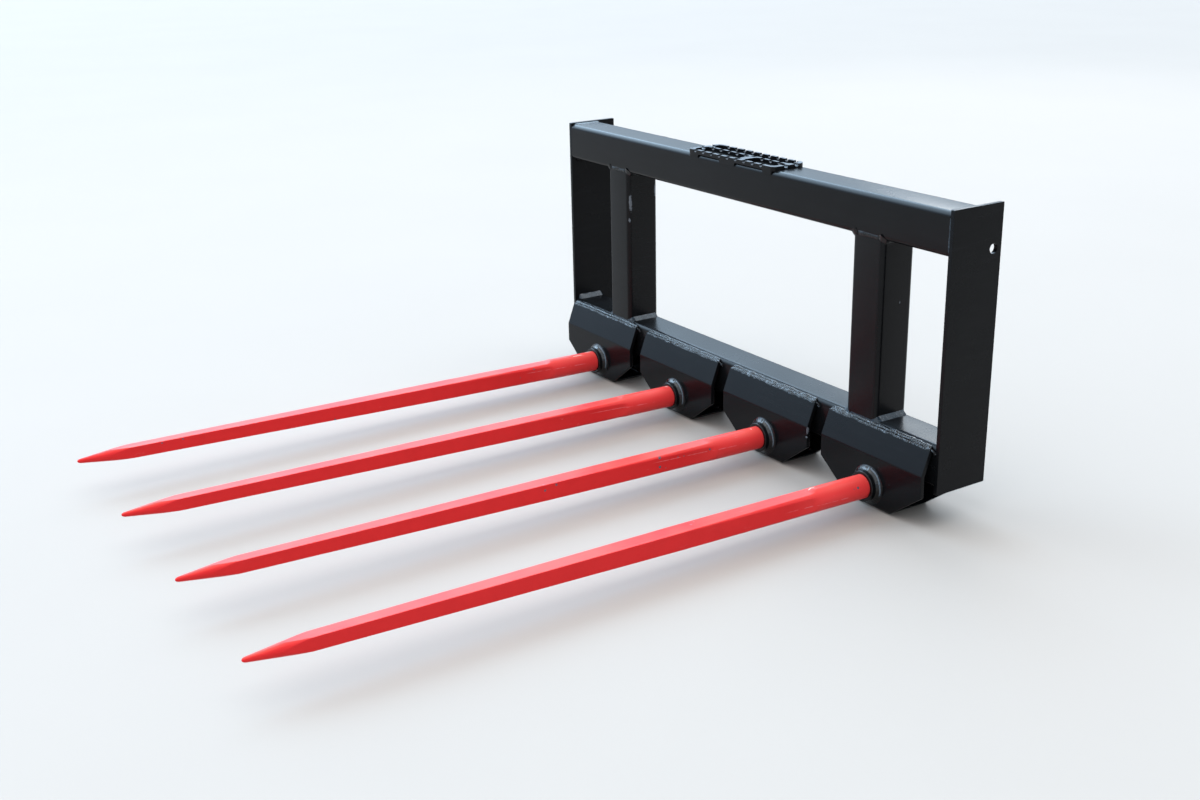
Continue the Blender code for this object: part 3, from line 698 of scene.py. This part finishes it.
for i, x in enumerate(POCKET_X, start=1):
    mat = black_paint("pocket_paint_%d" % i, 20.0 + 1.7 * i, rough=0.20, ior=1.205,
                      marks=POCKET_MARKS.get(i, ()))
    ob = to_object("bent_pocket_%d" % i,
                   prism(pocket_profile(), "X", x - POCKET_HW, x + POCKET_HW), mat)
    slope = (CUT_Z - POCKET_BOT) / (POCKET_HW - FOOT_HW)
    far = POCKET_HW + 0.015
    tools = []
    for sx in (-1, 1):
        outline = [(x + sx * far, CUT_Z + slope * (far - POCKET_HW)),
                   (x + sx * FOOT_HW, POCKET_BOT),
                   (x + sx * FOOT_HW, POCKET_BOT - 0.02),
                   (x + sx * far, POCKET_BOT - 0.02)]
        tools.append(cutter("wedge", prism(outline, "Y", FACE_Y - 0.02, POCKET_BACK + 0.02)))
    tools.append(cutter("drill", cyl_bm(SLEEVE_R + GAP, 0.24, 72, spear_matrix(x)
                                        @ Matrix.Translation((0, 0, -0.05)))))
    cut(ob, *tools)
    soften(ob, 0.0009, 2, 30.0)
    place(ob, "spear_pocket_%d" % i)

    # back plate with the pocket's outline
    foot_z = POCKET_BOT + PLATE_T + GAP
    foot_w = FOOT_HW + (foot_z - POCKET_BOT) / slope
    sup = to_object("back_plate_%d" % i,
                    prism([(x - foot_w, foot_z), (x + foot_w, foot_z),
                           (x + POCKET_HW, CUT_Z), (x + POCKET_HW, BOT_Z0 - GAP),
                           (x - POCKET_HW, BOT_Z0 - GAP), (x - POCKET_HW, CUT_Z)],
                          "Y", SUPPORT_Y - PLATE_T / 2, SUPPORT_Y + PLATE_T / 2),
                    black_paint("support_paint_%d" % i, 31.0 + i))
    cut(sup, cutter("drill", cyl_bm(SLEEVE_R + GAP, 0.24, 72, spear_matrix(x)
                                    @ Matrix.Translation((0, 0, -0.05)))))
    soften(sup, 0.0008, 2)
    place(sup, "sleeve_support_%d" % i)


# ---------------------------------------------------------------- sleeves, washers, nuts
def turned(profile, n):
    loops = [[(r * math.cos(2 * math.pi * k / n), r * math.sin(2 * math.pi * k / n), s)
              for k in range(n)] for r, s in profile]
    return loops_bm(loops, closed=True)


def shank_radius(s):
    k = (SLEEVE_FRONT - s) / (SLEEVE_FRONT - SHANK_END)
    return SPEAR_R + (SHANK_R - SPEAR_R) * k


for i, x in enumerate(POCKET_X, start=1):
    m = spear_matrix(x)
    f, b = SLEEVE_FRONT, SLEEVE_BACK
    rim = [(SLEEVE_R - 0.0016 * (1 - math.sin(math.radians(v))),
            f - 0.0016 * (1 - math.cos(math.radians(v)))) for v in (0, 18, 36, 54, 72, 90)]
    rim += [(SLEEVE_R, -0.02), (SLEEVE_R, b + 0.001), (SLEEVE_R - 0.001, b),
           (shank_radius(b) + GAP, b), (shank_radius(-0.02) + GAP, -0.02),
           (shank_radius(f) + GAP, f - 0.0006), (shank_radius(f) + GAP + 0.0006, f)]
    ob = to_object("socket_%d" % i, turned(rim, 96),
                   black_paint("socket_paint_%d" % i, 40.0 + i, rough=0.18, ior=1.36), 35,
                   matrix=m)
    place(ob, "spear_sleeve_%d" % i)

    bore = THREAD_R + GAP
    z1 = SLEEVE_BACK - GAP
    z0 = z1 - WASHER_T
    c = 0.0006
    ob = to_object("plain_washer_%d" % i,
                   turned([(WASHER_R - c, z1), (WASHER_R, z1 - c), (WASHER_R, z0 + c),
                           (WASHER_R - c, z0), (bore, z0), (bore, z1)], 72),
                   zinc("washer_zinc_%d" % i, i), 35, matrix=m)
    place(ob, "spear_washer_%d" % i, slot="zinc_hardware")

    z1 = z0 - GAP
    z0 = z1 - NUT_H

    def hexagon(s, limit, n=96):
        out = []
        for k in range(n):
            a = 2 * math.pi * k / n
            d = (a + math.pi / 6) % (math.pi / 3) - math.pi / 6
            r = min(NUT_AF / 2 / math.cos(d), limit)
            out.append((r * math.cos(a), r * math.sin(a), s))
        return out

    def circle(r, s, n=96):
        return [(r * math.cos(2 * math.pi * k / n), r * math.sin(2 * math.pi * k / n), s)
                for k in range(n)]
    limits = [NUT_AF / 2 * 0.985, NUT_AF / 2 * 1.03, NUT_AF / 2 * 1.08, NUT_AF / 2 * 1.16]
    loops = [hexagon(z1 - 0.0010 * k, lim) for k, lim in enumerate(limits)]
    loops += [hexagon(z0 + 0.0010 * k, lim) for k, lim in reversed(list(enumerate(limits)))]
    loops += [circle(bore + 0.0015, z0), circle(bore, z0 + 0.0015), circle(bore, z1 - 0.0015),
              circle(bore + 0.0015, z1)]
    ob = to_object("lock_nut_%d" % i, loops_bm(loops, closed=True),
                   zinc("nut_zinc_%d" % i, 5 + i), 28, matrix=m)
    place(ob, "spear_nut_%d" % i, slot="zinc_hardware")


# ---------------------------------------------------------------- spears
def blade_loop(s, n, seed):
    """Round stock truncated by four forged flats, then by the turned point."""
    half = A0 + (A1 - A0) * s / SPEAR_L
    cone = TIP_R + TIP_TAN * (SPEAR_L - s)
    grow = min(1.0, max(0.0, (s - 0.10) / 0.04))
    out = []
    for k in range(n):
        a = 2 * math.pi * k / n
        c, d = math.cos(a), math.sin(a)
        # forged flats wander a little and their corners are slightly rounded
        h = half * (1 + 0.006 * noise.noise(Vector((s * 11.0, round(a / (math.pi / 2)) % 4 * 3.0,
                                                    seed))))
        p = 34.0
        sq = h / (abs(c) ** p + abs(d) ** p) ** (1 / p) if s > 0.02 else 1.0
        r_round = SPEAR_R - 0.00012
        r = min(r_round, sq + (1 - grow) * 0.02, cone)
        # soften the line where round meets flat
        e = (sq + (1 - grow) * 0.02) - r_round
        if abs(e) < 0.0004:
            r = min(r, r_round - (0.0004 - abs(e)) * 0.18)
        out.append((r * c, r * d, s))
    return out


def spear_object(i, x):
    n = 144
    seed = 3.7 * i
    circle = lambda r, s: [(r * math.cos(2 * math.pi * k / n), r * math.sin(2 * math.pi * k / n), s)
                           for k in range(n)]
    loops = [circle(THREAD_R - 0.0016, THREAD_END), circle(THREAD_R - 0.0002, THREAD_END + 0.0014)]
    # rolled thread, 2 mm pitch, only where it shows behind the sleeve
    s = THREAD_END + 0.0014
    while s < SLEEVE_BACK - 0.001:
        s += 0.0005
        depth = 0.0009 * abs(((s / 0.002) % 1.0) * 2 - 1)
        loops.append(circle(THREAD_R - 0.0001 - depth, s))
    loops += [circle(THREAD_R - 0.001, SHANK_END - 0.0002), circle(SHANK_R, SHANK_END),
              circle(SPEAR_R - 0.00012, SLEEVE_FRONT)]
    s = 0.03
    stations = []
    while s < SPEAR_L - 0.13:
        stations.append(s)
        s += 0.010 if s > 0.42 else 0.006
    k = 0.13
    while k > 0.006:
        stations.append(SPEAR_L - k)
        k -= 0.0028
    loops += [blade_loop(s, n, seed) for s in stations]
    for q in (0.0055, 0.0040, 0.0027, 0.0016, 0.0008, 0.0002):
        r = (TIP_R + TIP_TAN * q) * math.sqrt(max(0.0, 1 - (1 - q / 0.0055) ** 2 * 0.95))
        loops.append(circle(r, SPEAR_L - 0.0004 - q))
    return to_object("tine_%d" % i, loops_bm(loops), red_paint("red_enamel_%d" % i, i), 28,
                     matrix=spear_matrix(x))


for i, x in enumerate(POCKET_X, start=1):
    place(spear_object(i, x), "spear_%d" % i, slot="spear_paint")

# ---------------------------------------------------------------- step
# what faces up is paled: boot wear and a painted sky highlight
step_mat = black_paint("step_paint", 55.0, rough=0.24, ior=1.23, wear_and_sheen=0.62)
r0 = 0.009
outline = (arc(STEP_HW - r0, STEP_Y0 + r0, r0, -90, 0, 9)
           + arc(STEP_HW - 0.016, STEP_Y1 - 0.016, 0.016, 0, 90, 12)
           + arc(-STEP_HW + 0.016, STEP_Y1 - 0.016, 0.016, 90, 180, 12)
           + arc(-STEP_HW + r0, STEP_Y0 + r0, r0, 180, 270, 9))
step = to_object("serrated_step", prism(outline, "Z", TOP_Z1 - 0.008, STEP_Z1), step_mat)
tools = []
edge_z, floor_z, w = TOP_Z1 - 0.0014, TOP_Z1 - 0.018, 0.2
hollow = [(FRONT_Y - GAP, floor_z)]
hollow += arc(FRONT_Y + TUBE_R, TOP_Z1 - TUBE_R, TUBE_R + GAP, 180, 90, 12)
hollow += arc(-TUBE_R, TOP_Z1 - TUBE_R, TUBE_R + GAP, 90, 35.7, 10)
hollow += [(0.05, hollow[-1][1]), (0.05, floor_z)]
tools.append(cutter("clear", prism(hollow, "X", -w, w)))
FEET = [(-0.127, -0.103), (-0.028, 0.013), (0.104, 0.124)]
runs = [(-w, FEET[0][0]), (FEET[0][1], FEET[1][0]), (FEET[1][1], FEET[2][0]), (FEET[2][1], w)]
for a, b in runs:
    slant = 0.004
    tools.append(cutter("gap", prism([(a + slant if a > -w else a, edge_z),
                                      (b - slant if b < w else b, edge_z),
                                      (b, floor_z), (a, floor_z)],
                                     "Y", STEP_Y0 - 0.01, FRONT_Y + 0.03)))
OPEN_F = (FRONT_Y + 0.0063, FRONT_Y + 0.0398)
OPEN_R = (FRONT_Y + 0.0458, FRONT_Y + 0.0722)
for x0, x1, y0, y1, rr in ((-0.122, 0.016, *OPEN_F, 0.008), (0.034, 0.122, *OPEN_F, 0.008),
                           (-0.122, 0.122, *OPEN_R, 0.008)):
    tools.append(cutter("opening", prism(round_rect(x0, x1, y0, y1, rr, 8), "Z",
                                         TOP_Z1 - 0.03, STEP_Z1 + 0.01)))
cut(step, *tools)
soften(step, 0.0008, 2, 50.0)
NOTCH_R = 0.0047


def notch_cutter(items):
    """One cutter from several round bars that don't touch each other."""
    whole = bmesh.new()
    for part in items:
        tmp = bpy.data.meshes.new("tmp")
        part.to_mesh(tmp)
        part.free()
        whole.from_mesh(tmp)
        bpy.data.meshes.remove(tmp)
    return cutter("notches", whole)


across, along = [], []
for b, (y0, y1, shift) in enumerate(((STEP_Y0 - 0.006, FRONT_Y + 0.012, 0.0050),
                                     (FRONT_Y + 0.0370, FRONT_Y + 0.0490, 0.0087),
                                     (FRONT_Y + 0.0695, STEP_Y1 + 0.006, 0.0174))):
    for k in range(9):
        x = -0.1134 + shift + k * 0.0255
        if abs(x) > STEP_HW - 0.016 and b == 2:
            continue
        across.append(cyl_bm(NOTCH_R, y1 - y0, 32,
                             Matrix.Translation((x, (y0 + y1) / 2, STEP_Z1 - 0.0003))
                             @ Matrix.Rotation(math.pi / 2, 4, "X")))
for sx in (-1, 1):
    for y in (FRONT_Y + 0.0295, FRONT_Y + 0.0550):
        along.append(cyl_bm(NOTCH_R, 0.034, 32,
                            Matrix.Translation((sx * 0.1235, y, STEP_Z1 - 0.0003))
                            @ Matrix.Rotation(math.pi / 2, 4, "Y")))
cut(step, notch_cutter(across))
cut(step, notch_cutter(along))
soften(step, 0.0003, 1, 45.0)
for poly in step.data.polygons:
    poly.use_smooth = True
step.data.set_sharp_from_angle(angle=math.radians(80))
mod = step.modifiers.new("flats", "WEIGHTED_NORMAL")
mod.weight = 100
mod.keep_sharp = True
apply_modifiers(step)
place(step, "step_plate")

# ---------------------------------------------------------------- coupler lips
ROOT = math.sqrt(0.5)


def sloping_lip(top_z):
    drop = LIP_END - GAP
    under = top_z - PLATE_T / ROOT
    return [(GAP, top_z), (LIP_END, top_z - drop),
            (LIP_END - PLATE_T * ROOT, top_z - drop - PLATE_T * ROOT),
            (GAP + LIP_RELIEF, under - LIP_RELIEF), (GAP, under + LIP_RELIEF / 2)]


lip = to_object("hook_flange", prism(sloping_lip(LIP_TOP), "X", -END, END),
                black_paint("hook_paint", 61.0))
soften(lip, 0.0009, 2)
place(lip, "hook_lip")
lock = to_object("lock_flange", prism(sloping_lip(LOCK_TOP), "X", -END, END),
                 black_paint("lock_paint", 64.0))
mid_y = BEAR_Y
mid_z = LOCK_TOP - (mid_y - GAP) - PLATE_T / ROOT / 2
tools = []
for sx in (-1, 1):
    bm = prism(round_rect(-0.030, 0.030, -0.0125, 0.0125, 0.004, 6), "Z", -0.03, 0.03)
    bmesh.ops.transform(bm, verts=bm.verts,
                        matrix=Matrix.Translation((sx * 0.41275, mid_y, mid_z))
                        @ Matrix.Rotation(-math.pi / 4, 4, "X"))
    tools.append(cutter("slot", bm))
cut(lock, *tools)
soften(lock, 0.0009, 2)
place(lock, "lock_plate")

# ---------------------------------------------------------------- welds
# glints paints pale flecks on these welds: painted glints
weld_bright = weld_metal("weld_bright", 2.0, tone=0.018, rough=0.15, ior=1.36, grit=0.08, blue=2.3,
                         glints=0.25)
weld_seam = weld_metal("weld_seam", 3.0, tone=0.004, rough=0.09, ior=1.33, grit=0.06, glints=0.95)
weld_even = weld_metal("weld_even", 4.0, tone=0.008, rough=0.22, ior=1.25, grit=0.20)
weld_grey = weld_metal("weld_grey", 5.0, tone=0.006, rough=0.10, ior=1.45, grit=0.06)
weld_dark = weld_metal("weld_dark", 8.0, tone=0.008, rough=0.20, ior=1.36, grit=0.15)

# along the leaning top edge of each pocket, lapping its corner and the tube's
for i, x in enumerate(POCKET_X, start=1):
    x0, x1 = x - POCKET_HW + 0.002, x + POCKET_HW - 0.002
    parts = [bead("b", [(x0, -0.0800, 0.0312), (x1, -0.0800, 0.0312)],
                  (0, -0.947, -0.322), (0, 0.81, 0.58), (0.0054, 0.0084), weld_seam,
                  crown=0.0024, out=(0, -0.53, 0.85), seed=i, rough=0.26, ripple=0.0048,
                  deep=0.0017, dip=0.70)]
    # the run's tail, a drip on the tube's face past the pocket's end
    for sx in (-1, 1):
        xe = x + sx * POCKET_HW
        if abs(xe) > 0.56 and sx < 0:
            continue
        parts.append(bead("b", [(xe - sx * 0.003, -0.0785, 0.0310), (xe + sx * 0.0030, -0.0768, 0.0265),
                                (xe + sx * 0.0034, -0.0764, 0.0205)],
                          (-1, 0, 0), (1, 0, 0), 0.0036, weld_dark, crown=0.0030,
                          out=(0, -1, 0.2), seed=40 + i + sx, rough=0.3, ends=0.003))
    place(join("weld_pocket_%d" % i, parts))


def ring(m, plane_y, radius, along):
    """Points and the two toes' directions where a sleeve passes through a plate."""
    path, radial, axial = [], [], []
    n = 72
    for k in range(n + 1):
        a = 2 * math.pi * k / n
        c, s = math.cos(a), math.sin(a)
        p = m @ Vector((c * radius, s * radius, 0.0))
        axis = m.to_3x3() @ Vector((0, 0, 1))
        p = p + axis * ((plane_y - p.y) / axis.y)
        path.append(p)
        radial.append(Vector((c, 0, s)))
        axial.append(axis * along)
    return path, radial, axial


# ring of each sleeve on its pocket face, with the stop of the run near the top
for i, x in enumerate(POCKET_X, start=1):
    m = spear_matrix(x)
    path, radial, axial = ring(m, FACE_Y, SLEEVE_R, 1.0)
    # its upper right painted pale: a painted highlight
    ring_mat = weld_metal("weld_ring_%d" % i, 5.0 + i, tone=0.005, rough=0.10, ior=1.45, grit=0.06,
                          crescent=(PLACE @ Vector((x, FACE_Y, SPEAR_Z)),
                                    SLEEVE_R + 0.0034, SLEEVE_R + 0.0062))
    parts = [bead("b", path, radial, axial, (0.0086, 0.0078), ring_mat, crown=-0.0012,
                  seed=10 + i, rough=0.12, closed=True, ripple=0.0052, deep=0.00035)]
    a = math.radians(-14 - 7 * (i % 2))
    bm = bmesh.new()
    bmesh.ops.create_icosphere(bm, subdivisions=3, radius=0.0013, matrix=Matrix.Translation(
        (x + (SLEEVE_R + 0.0078) * math.cos(a), FACE_Y - 0.0008, SPEAR_Z + (SLEEVE_R + 0.0078) * math.sin(a))))
    parts.append(to_object("dot", bm, weld_grey, 80))
    for a, r, ln in ((84 + 3 * i, 0.0032, 0.008),):
        c, s = math.cos(math.radians(a)), math.sin(math.radians(a))
        p = Vector((x + c * (SLEEVE_R + 0.0035), FACE_Y - 0.0012, SPEAR_Z + s * (SLEEVE_R + 0.0035)))
        t = Vector((-s, 0, c))
        parts.append(bead("b", [p - t * ln / 2, p, p + t * ln / 2], (c, 0, s), (-c, 0, -s), r,
                          weld_grey, crown=0.0022, out=(0, -1, 0), seed=60 + i, rough=0.3,
                          ends=0.004))
    place(join("weld_socket_%d" % i, parts))

# uprights onto both rails, the lower runs hooking round onto the rail's face
for side, sx in (("left", -1), ("right", 1)):
    cx = sx * UPRIGHT_X
    for where, z, up in (("foot", BOT_Z1, 1), ("head", TOP_Z0, -1)):
        parts = []
        for dx in (-1, 1):
            ex = cx + dx * TUBE / 2
            low = -up
            path = [(ex, -0.004, z), (ex, FRONT_Y + 0.0105, z),
                    (ex - dx * 0.0012, FRONT_Y + 0.0058, z + low * 0.0006),
                    (ex - dx * 0.0052, FRONT_Y + 0.0020, z + low * 0.0030),
                    (ex - dx * 0.0110, FRONT_Y + 0.0006, z + low * 0.0052)]
            away = [(dx, 0, 0), (dx, 0, 0), (dx * 0.8, -0.45, low * 0.25),
                    (dx * 0.3, -0.6, low * 0.75), (0, -0.3, low)]
            rise = [(0, 0, up), (0, 0, up), (0, 0, up), (0, 0, up), (0, -0.15, up)]
            parts.append(bead("b", path, away, rise, (0.0092, 0.0075) if up > 0 else (0.0080, 0.0080),
                              weld_bright if up > 0 else weld_dark, crown=0.0002,
                              seed=20 + dx + up * 3 + sx * 5, rough=0.07, deep=0.00030))
        for y, oy in ((FRONT_Y, -1), (0.0, 1)):
            zr = z - up * 0.0030
            yr = y - oy * 0.0022
            parts.append(bead("b", [(cx - TUBE / 2 + 0.010, yr, zr), (cx + TUBE / 2 - 0.010, yr, zr)],
                              (0, oy * 0.30, -up * 0.95), (0, oy * 0.30, up * 0.95), 0.0048,
                              weld_dark, crown=0.0010, out=(0, oy, 0),
                              seed=33 + up + oy * 2 + sx * 7, rough=0.25))
        place(join("weld_post_%s_%s" % (side, where), parts))

# rails onto the end plates: over the top, down the back, and a flush seam in front
for side, sx in (("left", -1), ("right", 1)):
    for name, z0, z1 in (("top", TOP_Z0, TOP_Z1), ("bottom", BOT_Z0, BOT_Z1)):
        ex = sx * IN_X
        up_leg = 0.0020 if name == "top" else 0.0085
        parts = [bead("b", [(ex, FRONT_Y + 0.008, z1), (ex, -0.004, z1)], (-sx, 0, 0), (0, 0, 1),
                      (0.0105, up_leg), weld_even if sx < 0 and name == "top" else weld_bright,
                      crown=0.0003, seed=50 + sx, rough=0.10, deep=0.00035),
                 bead("b", [(ex, FRONT_Y + 0.010, z0), (ex, -0.010, z0)], (-sx, 0, 0), (0, 0, -1),
                      0.0070, weld_dark, seed=54 + sx, rough=0.2),
                 bead("b", [(ex, 0.0, z0 + 0.010), (ex, 0.0, z1 - 0.010)], (-sx, 0, 0), (0, 1, 0),
                      0.0065, weld_dark, seed=58 + sx, rough=0.2)]
        if name == "top" and sx > 0:
            parts.append(bead("b", [(ex, FRONT_Y, z0 + 0.008), (ex, FRONT_Y, z1 - 0.010)],
                              (-sx, 0, 0), (sx, 0, 0), (0.0016, 0.0012), weld_even, crown=0.00010,
                              out=(0, -1, 0), seed=62 + sx, rough=0.12, deep=0.00015))
        place(join("weld_rail_%s_%s" % (name, side), parts))

# lips behind the rails: stitch welds
for name, top_z in (("hook", LIP_TOP), ("lock", LOCK_TOP)):
    parts = []
    for k, xc in enumerate((-0.50, -0.30, -0.10, 0.10, 0.30, 0.50)):
        parts.append(bead("b", [(xc - 0.032, 0.0002, top_z - 0.0014),
                                (xc + 0.032, 0.0002, top_z - 0.0014)],
                          (0, -0.35, 0.94), (0, 0.75, -0.66), (0.0036, 0.0055), weld_dark,
                          crown=0.0008, seed=70 + k, rough=0.2))
    place(join("weld_%s_lip" % name, parts))

# sleeve ends on their back plates, and the plates on the flange and the rail
for i, x in enumerate(POCKET_X, start=1):
    m = spear_matrix(x)
    yb = SUPPORT_Y + PLATE_T / 2
    path, radial, axial = ring(m, yb, SLEEVE_R, -1.0)
    parts = [bead("b", path, radial, axial, 0.0050, weld_dark, crown=0.0004, seed=90 + i,
                  closed=True, step=0.0013)]
    zt = POCKET_BOT + PLATE_T
    parts.append(bead("b", [(x - FOOT_HW + 0.004, yb - PLATE_T, zt),
                            (x + FOOT_HW - 0.004, yb - PLATE_T, zt)],
                      (0, -1, 0), (0, 0, 1), 0.0050, weld_dark, seed=95 + i))
    parts.append(bead("b", [(x - POCKET_HW + 0.004, yb - 0.0003, BOT_Z0),
                            (x + POCKET_HW - 0.004, yb - 0.0003, BOT_Z0)],
                      (0, 0.9, 0.1), (0, 0, -1), (0.0070, 0.0056), weld_dark, seed=99 + i))
    place(join("weld_support_%d" % i, parts))

# spatter round the pocket faces
rng = random.Random(7)
for i, x in enumerate(POCKET_X, start=1):
    bm = bmesh.new()
    for k in range(16):
        a = math.radians(rng.uniform(-130, 60))
        d = SLEEVE_R + rng.uniform(0.010, 0.030)
        px, pz = x + d * math.cos(a), SPEAR_Z + d * math.sin(a)
        if pz < POCKET_BOT + 0.012 or pz > BEND_Z - 0.004:
            continue
        if abs(px - x) > FOOT_HW + (pz - POCKET_BOT) / 0.747 - 0.006:
            continue
        r = rng.uniform(0.0005, 0.0012)
        bmesh.ops.create_icosphere(bm, subdivisions=2, radius=r,
                                   matrix=Matrix.Translation((px, FACE_Y - r * 0.25, pz))
                                   @ Matrix.Diagonal((1.0, 0.7, 1.0, 1.0)))
    place(to_object("spatter_%d" % i, bm, weld_grey, 80))

# ---------------------------------------------------------------- floor, light, camera
g = Nodes("floor_mat")
p = g.coords()
tone = g.noise(p, 1.3, 3.0, 0.5)
col = g.mix(tone, (0.345, 0.306, 0.274), (0.362, 0.321, 0.288))
floor_mat = g.shader(col, 0.75, 0.0, g.bump(g.noise(p, 90.0, 3.0), 0.0004, 0.2), ior=1.3)
bm = bmesh.new()
bmesh.ops.create_grid(bm, x_segments=8, y_segments=8, size=45.0,
                      matrix=Matrix.Translation((0, 0, FLOOR_Z - 0.0002)))
floor = to_object("floor", bm, floor_mat)

world = bpy.data.worlds.new("studio")
scene.world = world
w = Nodes("studio", world=world)
d = w.add("ShaderNodeTexCoord").outputs["Generated"]
sep = w.add("ShaderNodeSeparateXYZ")
w.put(sep.inputs[0], d)
z = sep.outputs["Z"]
x, y = sep.outputs["X"], sep.outputs["Y"]


def zone(*parts):
    out = parts[0]
    for part in parts[1:]:
        out = w.math("MULTIPLY", out, part)
    return out


sky = w.mix(w.ramp(z, 0.0, 0.20), (0.62, 0.76, 0.92), (0.68, 0.82, 0.96))
sky = w.mix(w.ramp(z, 0.25, 0.60), sky, (0.74, 0.78, 0.82))
# low in front, on the left
sky = w.mix(zone(w.ramp(y, -0.15, -0.50), w.ramp(z, 0.30, 0.10), w.ramp(x, -0.10, -0.50)),
            sky, (1.05, 1.40, 1.85))
# half way up behind, on the left: what the tubes' tops see
flat = w.vec("NORMALIZE", w.vec("MULTIPLY", d, (1.0, 1.0, 0.0)))
side = w.ramp(w.vec("DOT_PRODUCT", flat, (-0.84, 0.54, 0.0)), -0.1, 0.8)
sky = w.mix(zone(w.ramp(z, 0.09, 0.36), w.ramp(z, 0.92, 0.66), side), sky, (1.60, 2.10, 2.60))
# the front
sky = w.mix(zone(w.ramp(y, -0.05, -0.35), w.ramp(z, 0.25, 0.50)), sky, (1.80, 1.95, 2.10))
# a long soft light high behind the frame, and a brighter one down its left
sky = w.mix(zone(w.ramp(y, 0.02, 0.20), w.ramp(y, 0.68, 0.50), w.ramp(z, 0.42, 0.56),
                 w.ramp(x, 0.60, 0.36)), sky, (4.2, 4.5, 4.8))
q = w.math("SUBTRACT", z, w.math("MULTIPLY", y, 0.6))
sky = w.mix(zone(w.ramp(q, 0.09, 0.22), w.ramp(x, -0.54, -0.66), w.ramp(z, 0.05, 0.60)),
            sky, (5.5, 7.6, 9.7))
bg = w.add("ShaderNodeBackground")
w.put(bg.inputs["Color"], sky)
bg.inputs["Strength"].default_value = 1.0
w.tree.links.new(bg.outputs[0], w.out.inputs["Surface"])


def softbox(name, where, aim, size, size_y, power, colour=(1, 1, 1)):
    light = bpy.data.lights.new(name, "AREA")
    light.shape = "RECTANGLE"
    light.size, light.size_y = size, size_y
    light.energy = power
    light.color = colour
    ob = bpy.data.objects.new(name, light)
    scene.collection.objects.link(ob)
    ob.location = PLACE @ Vector(where)
    ob.rotation_mode = "QUATERNION"
    ob.rotation_quaternion = (Vector(aim) - Vector(where)).to_track_quat("-Z", "Y")
    return ob


softbox("key", (-1.2, -1.8, 5.4), (0, -0.5, 0), 3.6, 3.6, 60.0, (1.0, 0.99, 0.97))
softbox("back", (-3.3, 4.7, 2.75), (0.5, 0, 0.04), 1.7, 1.1, 36.0, (0.97, 0.99, 1.0))

cam = bpy.data.cameras.new("camera")
cam.sensor_width = 36.0
cam.lens = 42.90
cam.shift_x = (600 - 605.305) / 1200
cam.shift_y = (399.068 - 400) / 1200
cam.clip_start, cam.clip_end = 0.05, 200.0
camera = bpy.data.objects.new("camera", cam)
scene.collection.objects.link(camera)
right = Vector((0.54582308, 0.83769596, -0.01851081))
down = Vector((0.27291580, -0.19862595, -0.94131010))
ahead = Vector((-0.79220839, 0.50873688, -0.33703509))
m = Matrix((right, -down, -ahead)).transposed().to_4x4()
m.translation = Vector((2.1667, -1.6849 - TUBE, 0.9908 - 0.0508))
camera.matrix_world = PLACE @ m
scene.camera = camera
scene.view_settings.view_transform = "Standard"
scene.view_settings.look = "None"
